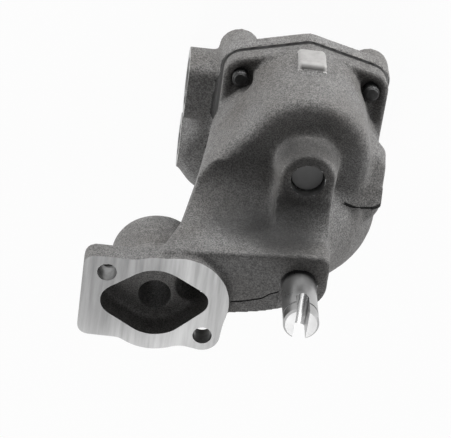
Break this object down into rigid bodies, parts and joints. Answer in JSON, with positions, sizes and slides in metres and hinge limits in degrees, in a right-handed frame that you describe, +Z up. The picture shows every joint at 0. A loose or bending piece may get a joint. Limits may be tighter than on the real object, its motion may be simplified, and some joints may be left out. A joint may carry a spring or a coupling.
{
  "type": "engine oil pump",
  "caption": "Gear oil pump for a V8 engine: cast-iron body with a bolt-down discharge foot, slotted drive shaft, bottom cover with side pick-up inlet and relief valve.",
  "frame": {"origin": "drive shaft axis where it crosses the plane of the machined mounting face", "axes": "+Z up along the drive shaft toward its slotted end, which is up in the engine; +Y from the drive shaft to the idler shaft; the mounting foot and the pick-up inlet are toward -X"},
  "size_m": [0.1109, 0.0881, 0.1382],
  "materials": {
    "cast_iron_body": "sand-cast grey iron, milled on the mounting face",
    "cast_iron_cover": "sand-cast grey iron, milled on the inlet face",
    "ground_steel": "ground steel",
    "gear_steel": "sintered steel, dark and smooth",
    "spring_steel": "spring steel wire",
    "black_oxide": "black oxide fasteners"
  },
  "bodies": {
    "housing": {"pump_body": "cast_iron_body", "pump_cover": "cast_iron_cover", "idler_shaft": "ground_steel", "relief_spring": "spring_steel", "relief_retaining_pin": "spring_steel", "cover_bolts": "black_oxide"},
    "drive": {"drive_shaft": "ground_steel", "drive_gear": "gear_steel"},
    "idler": {"idler_gear": "gear_steel"},
    "relief": {"relief_valve_piston": "ground_steel"}
  },
  "joints": [
    {"name": "drive_spin", "type": "hinge", "parent": "housing", "child": "drive", "pos_m": [0, 0, 0], "axis": [0, 0, 1], "continuous": true},
    {"name": "idler_spin", "type": "hinge", "parent": "housing", "child": "idler", "pos_m": [0, 0.02963, 0], "axis": [0, 0, 1], "continuous": true},
    {"name": "relief_valve_slide", "type": "slide", "parent": "housing", "child": "relief", "axis": [-1, 0, 0], "range_m": [0, 0.0085], "stiffness_N_per_m": 6000, "springref_m": -0.006, "deforming": ["relief_spring"]}
  ],
  "couplings": [
    {"joint": "idler_spin", "follows": "drive_spin", "ratio": -1}
  ]
}
